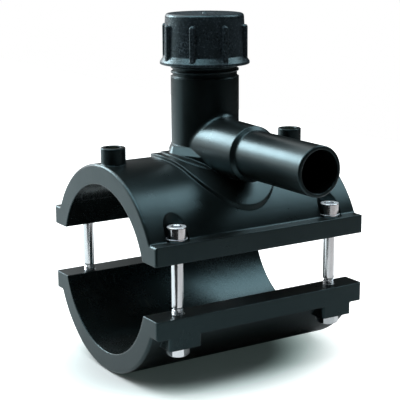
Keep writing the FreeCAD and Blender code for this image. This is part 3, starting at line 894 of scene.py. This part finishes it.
class SADDLE_OT_nuts(bpy.types.Operator):
    """Build the four nuts and finish the washers"""
    bl_idname = "saddle.nuts"
    bl_label = "Nuts and washers"

    def execute(self, context):
        sizes = context.scene.saddle_fasteners
        zinc = finish_material("zinc_plate")
        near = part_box("nut_front_left")
        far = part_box("nut_rear_right")
        form = self.nut_form(sizes, near[0][2], near[1][2])
        nuts = make_object("clamp_nuts", form, zinc)
        length = (far[0][0] + far[1][0]) / 2 - (near[0][0] + near[1][0]) / 2
        width = (far[0][1] + far[1][1]) / 2 - (near[0][1] + near[1][1]) / 2
        run_tree(nuts, grid_tree(), zinc, {"Length": length, "Width": width, "Material": zinc})
        settle(nuts, "clamp", ["nut_" + corner for corner in CORNERS])
        for corner in CORNERS:
            dress_node("washer_" + corner, "zinc_plate")
        return {"FINISHED"}

    def nut_form(self, sizes, low, high):
        """A hexagon nut at the origin whose corners fall away to round faces at both ends."""
        form = bmesh.new()
        segments = 72
        flat = sizes.nut_width / 2
        bore = 0.00315
        chamfer = 0.0004
        middle = (low + high) / 2
        rings = []
        slope = math.tan(math.radians(30.0))
        face = flat * 0.95

        def ring(radius_of, height_of):
            loop = []
            for step in range(segments):
                angle = 2 * math.pi * step / segments
                hexagon = hexagon_reach(flat, angle)
                radius = radius_of(hexagon)
                loop.append(form.verts.new((radius * math.cos(angle), radius * math.sin(angle),
                                            height_of(hexagon))))
            rings.append(loop)

        for radius_of, height_of in (
                (lambda h: bore, lambda h: low + chamfer), (lambda h: bore + chamfer, lambda h: low),
                (lambda h: face, lambda h: low), (lambda h: h, lambda h: low + (h - face) * slope),
                (lambda h: h, lambda h: middle), (lambda h: h, lambda h: high - (h - face) * slope),
                (lambda h: face, lambda h: high), (lambda h: bore + chamfer, lambda h: high),
                (lambda h: bore, lambda h: high - chamfer)):
            ring(radius_of, height_of)
        for lower, upper in zip(rings, rings[1:] + rings[:1]):
            for step in range(segments):
                after = (step + 1) % segments
                form.faces.new((lower[step], lower[after], upper[after], upper[step]))
        bmesh.ops.recalc_face_normals(form, faces=form.faces)
        return form


class SADDLE_OT_stage(bpy.types.Operator):
    """Set the floor, the lamps, the white surroundings and the camera"""
    bl_idname = "saddle.stage"
    bl_label = "Stage"

    def execute(self, context):
        sizes = context.scene.saddle_studio
        self.floor(CAD_BOX[0][2])
        self.world(context, sizes)
        for name, setting, sides, place, aim in LAMPS:
            self.lamp(name, getattr(sizes, setting), sizes.azimuth, sides, place, aim)
        self.camera(context, sizes)
        return {"FINISHED"}

    def floor(self, height):
        """A pale table top whose near corner lies left of the object, white to the eye outside the shadow."""
        form = bmesh.new()
        form.faces.new([form.verts.new((x, y, height)) for x, y in TABLE])
        material, tree, shader = new_material("studio_floor")
        place = tree.nodes.new("ShaderNodeTexCoord").outputs["Object"]
        speck = noise(tree, place, 0.01, 2.0)
        across = add_node(tree, "ShaderNodeVectorMath", {"Vector": place}, {"operation": "DOT_PRODUCT"})
        across.inputs[1].default_value = ALONG_VIEW
        # The floor's colour is painted darker towards the front, as painted shade
        lit = ranged(tree, across.outputs["Value"], 0.0, 1.0, *TABLE_STRETCH)
        front = tinted(tree, ranged(tree, speck.outputs[0], 0.0, 1.0), *TABLE_FRONT)
        base = tinted(tree, lit, front, TABLE_REAR)
        tree.links.new(base, shader.inputs["Base Color"])
        shader.inputs["Roughness"].default_value = 0.9
        shader.inputs["Specular IOR Level"].default_value = 0.1
        seen = seen_by_eye(tree)
        ground = add_node(tree, "ShaderNodeMapping", {"Vector": place})
        ground.inputs["Location"].default_value = SHADE_SHIFT
        ground.inputs["Scale"].default_value = (1 / SHADE_RADII[0], 1 / SHADE_RADII[1], 0.0)
        away = add_node(tree, "ShaderNodeVectorMath", {"Vector": ground.outputs["Vector"]},
                        {"operation": "LENGTH"})
        glow = add_node(tree, "ShaderNodeMapRange", {"Value": away.outputs["Value"]},
                        {"interpolation_type": "SMOOTHSTEP"}, From_Min=SHADE_EDGE[0],
                        From_Max=SHADE_EDGE[1], To_Min=SHADE_GLOW, To_Max=1.0)
        lift = math_node(tree, "MULTIPLY", seen, glow.outputs["Result"])
        # Painted tint: the faint glow inside the oval is tinted teal, painted into the shadow's colour
        pale = tinted(tree, glow.outputs["Result"], SHADE_TINT, WHITE)
        tree.links.new(pale, shader.inputs["Emission Color"])
        tree.links.new(lift, shader.inputs["Emission Strength"])
        make_object("studio_floor", form, material)

    def world(self, context, sizes):
        """Dark surroundings with a softly lit wall behind. The eye sees them as plain white."""
        world = bpy.data.worlds.new("white_surroundings")
        context.scene.world = world
        world.use_nodes = True
        tree = world.node_tree
        tree.nodes.clear()
        towards = add_node(tree, "ShaderNodeVectorMath", settings={"operation": "DOT_PRODUCT"})
        tree.links.new(tree.nodes.new("ShaderNodeTexCoord").outputs["Generated"], towards.inputs[0])
        towards.inputs[1].default_value = WALL_TOWARDS
        wall = add_node(tree, "ShaderNodeMapRange", {"Value": towards.outputs["Value"]},
                        {"interpolation_type": "SMOOTHSTEP"}, From_Min=WALL_EDGE[0], From_Max=WALL_EDGE[1],
                        To_Min=sizes.ambient, To_Max=sizes.backdrop)
        seen = seen_by_eye(tree)
        strength = add_node(tree, "ShaderNodeMapRange", {"Value": seen, "To Min": wall.outputs["Result"]},
                            To_Max=1.0)
        back = add_node(tree, "ShaderNodeBackground", {"Strength": strength.outputs["Result"]})
        back.inputs["Color"].default_value = WHITE
        output = tree.nodes.new("ShaderNodeOutputWorld")
        tree.links.new(back.outputs["Background"], output.inputs["Surface"])

    def lamp(self, name, strength, bearing, sides, place, aim):
        """A softbox of the given width and depth whose width runs along the picture."""
        light = bpy.data.lights.new(name, "AREA")
        light.energy = strength
        light.shape = "RECTANGLE"
        light.size, light.size_y = sides
        light.color = LAMP_COLOUR
        back = (Vector(place) - Vector(aim)).normalized()
        along = Vector((math.cos(bearing), math.sin(bearing), 0.0))
        upright = back.cross(along).normalized()
        lamp = bpy.data.objects.new(name, light)
        lamp.matrix_world = (Matrix.Translation(place)
                             @ Matrix((upright.cross(back), upright, back)).transposed().to_4x4())
        bpy.context.scene.collection.objects.link(lamp)

    def camera(self, context, sizes):
        back = Vector((math.sin(sizes.azimuth) * math.cos(sizes.elevation),
                       -math.cos(sizes.azimuth) * math.cos(sizes.elevation), math.sin(sizes.elevation)))
        level = Vector((0.0, 0.0, 1.0)).cross(back).normalized()
        upright = back.cross(level)
        right = level * math.cos(sizes.roll) + upright * math.sin(sizes.roll)
        up = upright * math.cos(sizes.roll) - level * math.sin(sizes.roll)
        place = right * sizes.aim_right + up * sizes.aim_up + back * sizes.distance
        view = bpy.data.cameras.new("photo_view")
        view.lens = sizes.lens
        view.sensor_width = 36.0
        view.clip_start = 0.01
        camera = bpy.data.objects.new("photo_view", view)
        camera.matrix_world = Matrix.Translation(place) @ Matrix((right, up, back)).transposed().to_4x4()
        context.scene.collection.objects.link(camera)
        context.scene.camera = camera
        context.scene.view_settings.view_transform = "Standard"


OPERATORS = (SADDLE_OT_mouldings, SADDLE_OT_fusion_face, SADDLE_OT_chimney_thread, SADDLE_OT_cap,
             SADDLE_OT_cutter, SADDLE_OT_screws, SADDLE_OT_nuts, SADDLE_OT_stage)


class SADDLE_PT_panel(bpy.types.Panel):
    """Lists the steps that dress the saddle"""
    bl_idname = "SADDLE_PT_panel"
    bl_label = "Tapping Saddle"
    bl_space_type = "VIEW_3D"
    bl_region_type = "UI"
    bl_category = "Saddle"

    def draw(self, context):
        for group in SETTINGS:
            box = self.layout.box()
            settings = getattr(context.scene, group)
            for name in settings.bl_rna.properties.keys():
                if name not in {"rna_type", "name"}:
                    box.prop(settings, name)
        for operator in OPERATORS:
            self.layout.operator(operator.bl_idname)


def register():
    for group, kind in SETTINGS.items():
        bpy.utils.register_class(kind)
        setattr(bpy.types.Scene, group, PointerProperty(type=kind))
    for kind in OPERATORS + (SADDLE_PT_panel,):
        bpy.utils.register_class(kind)


def unregister():
    for kind in reversed(OPERATORS + (SADDLE_PT_panel,)):
        bpy.utils.unregister_class(kind)
    for group, kind in SETTINGS.items():
        delattr(bpy.types.Scene, group)
        bpy.utils.unregister_class(kind)


def main():
    register()
    bpy.ops.saddle.mouldings()
    bpy.ops.saddle.fusion_face()
    bpy.ops.saddle.chimney_thread()
    bpy.ops.saddle.cap()
    bpy.ops.saddle.cutter()
    bpy.ops.saddle.screws()
    bpy.ops.saddle.nuts()
    bpy.ops.saddle.stage()


if __name__ == "__main__":
    main()
